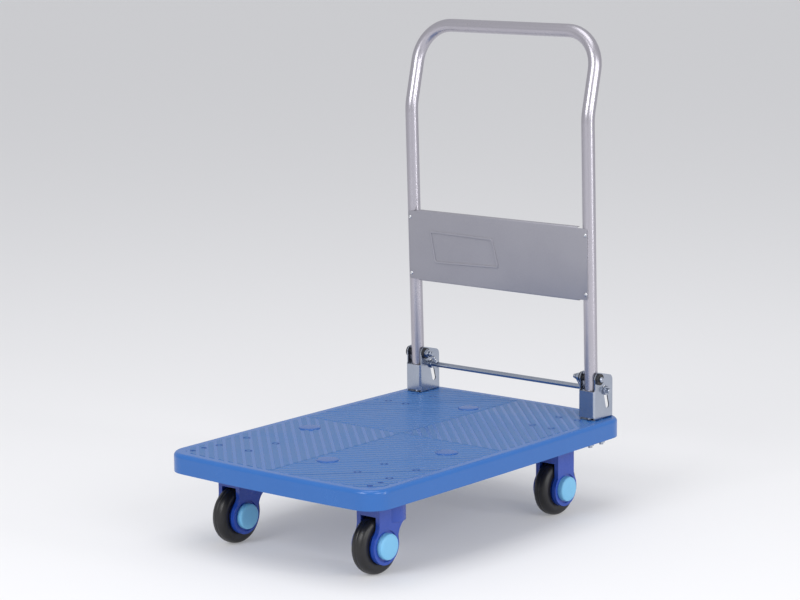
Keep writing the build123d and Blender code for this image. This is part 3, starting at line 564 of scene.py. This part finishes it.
bead = bmesh.new()
corners = [(-194.5, 301), (-9, 298.4), (8.5, 230.5), (-180.7, 224.5)]
bead.faces.new([bead.verts.new((x * mm, front_y + bead_foot, z * mm)) for x, z in corners])
bmesh.ops.bevel(bead, geom=bead.verts[:], offset=7 * mm, offset_type="OFFSET", segments=6, profile=0.5,
                affect="VERTICES", clamp_overlap=True, material=-1)
bmesh.ops.recalc_face_normals(bead, faces=bead.faces)
ring = bmesh.ops.inset_region(bead, faces=bead.faces[:], thickness=bead_width, use_boundary=True,
                              use_even_offset=True)["faces"]
inner = [face for face in bead.faces if face not in ring]
bmesh.ops.delete(bead, geom=inner, context="FACES")
lifted = bmesh.ops.extrude_face_region(bead, geom=bead.faces[:])["geom"]
proud = [item for item in lifted if isinstance(item, bmesh.types.BMVert)]
bmesh.ops.translate(bead, vec=(0, -bead_height - bead_foot, 0), verts=proud)
bmesh.ops.recalc_face_normals(bead, faces=bead.faces)
crest = [edge for edge in bead.edges if all(vert in proud for vert in edge.verts)
         and edge.calc_face_angle(0) > 1]
soften(bead, crest, 0.5 * bead_height, 3)
bmesh.ops.transform(bead, matrix=upright, verts=bead.verts)
finish_piece("panel_outline", bead, "handle", panel_paint, sharp=60)

# ---- Panel rivets ----
# Four aluminium blind rivets with low domed heads, set through the panel's ends into the uprights. The
# snapped pin leaves a small pit in each head.
rivet_head_radius = 4.2
rivet_head = [(-3, 0), (-3, 2.3), (0, 2.3), (0.02, rivet_head_radius), (0.5, 4.1), (1.1, 3.5),
              (1.6, 2.4), (1.78, 1.5), (1.5, 1.1), (1.2, 0.9), (1.2, 0)]
rivet_metal, tree, shader = new_material("aluminium_rivet_bright", "#c9cacd", 0.3, 1.0)
grained(tree, shader, 0.5 * mm, 0.01 * mm, 0.22, 0.38)
rivet_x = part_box("panel_rivets")[1].x - rivet_head_radius * mm
rivet_heights = (195 * mm, 329 * mm)
rivets = bmesh.new()
for x in (-rivet_x, rivet_x):
    for z in rivet_heights:
        seat = Matrix.Translation((x, front_y, z)) @ Matrix.Rotation(-pi / 2, 4, "Z")
        turned(rivets, rivet_head, upright @ seat, 32)
finish_piece("domed_panel_rivets", rivets, "handle", rivet_metal,
             ("panel_rivets",), 50)

# ---- Floor, light and camera ----
# A matt white floor with a faint glow, painted light that keeps the shadows pale, under four softboxes
# and an even white surround.
glowing_floor_paint, tree, shader = new_material("matt_white_floor_painted_glow", "#cfcfd1", 0.9)
# Painted light: the floor glows faintly so that the shadows stay pale.
shader.inputs["Emission Color"].default_value = linear("#f6f6f8")
shader.inputs["Emission Strength"].default_value = 0.22
floor = bmesh.new()
bmesh.ops.create_grid(floor, x_segments=1, y_segments=1, size=60)
floor_piece = finish_piece("floor", floor, None, glowing_floor_paint)

world = bpy.data.worlds.new("studio")
bpy.context.scene.world = world
world.use_nodes = True
world.node_tree.nodes["Background"].inputs["Color"].default_value = linear("#fbfcff")
world.node_tree.nodes["Background"].inputs["Strength"].default_value = 0.62


def softbox(name, position, target, size, power, colour="#ffffff"):
    """A square area light aimed at a point."""
    light = bpy.data.lights.new(name, "AREA")
    light.shape = "RECTANGLE"
    light.size, light.size_y = size
    light.energy = power
    light.color = linear(colour)[:3]
    lamp = bpy.data.objects.new(name, light)
    bpy.context.scene.collection.objects.link(lamp)
    lamp.location = position
    aim = Vector(target) - Vector(position)
    lamp.rotation_euler = aim.to_track_quat("-Z", "Y").to_euler()


softbox("key", (0.0, -4.6, 3.0), (0, 0, 0.4), (2.4, 2.0), 105)
softbox("fill", (4.6, -1.6, 2.6), (0, 0, 0.4), (2.4, 2.0), 70)
softbox("strip", (4.4, 0.9, 1.3), (0, 0.3, 0.6), (0.5, 2.4), 40)
softbox("top", (0.4, -1.0, 6.0), (0.4, -1.0, 0), (4.0, 4.0), 100)

camera_place = Vector((3431.3, -4119.0, 1460.6)) * mm
yaw, pitch, roll = -0.6945, -0.1755, -0.0099
forward = Vector((sin(yaw) * cos(pitch), cos(yaw) * cos(pitch), sin(pitch)))
right = Vector((cos(yaw), -sin(yaw), 0))
up = right.cross(forward)
turned_right = cos(roll) * right + sin(roll) * up
turned_up = -sin(roll) * right + cos(roll) * up
camera_data = bpy.data.cameras.new("camera")
camera_data.sensor_width = 36
camera_data.lens = 111.789
camera_data.clip_end = 200
camera = bpy.data.objects.new("camera", camera_data)
bpy.context.scene.collection.objects.link(camera)
camera.matrix_world = Matrix((
    (turned_right.x, turned_up.x, -forward.x, camera_place.x),
    (turned_right.y, turned_up.y, -forward.y, camera_place.y),
    (turned_right.z, turned_up.z, -forward.z, camera_place.z),
    (0, 0, 0, 1)))
bpy.context.scene.camera = camera
bpy.context.scene.view_settings.view_transform = "Standard"
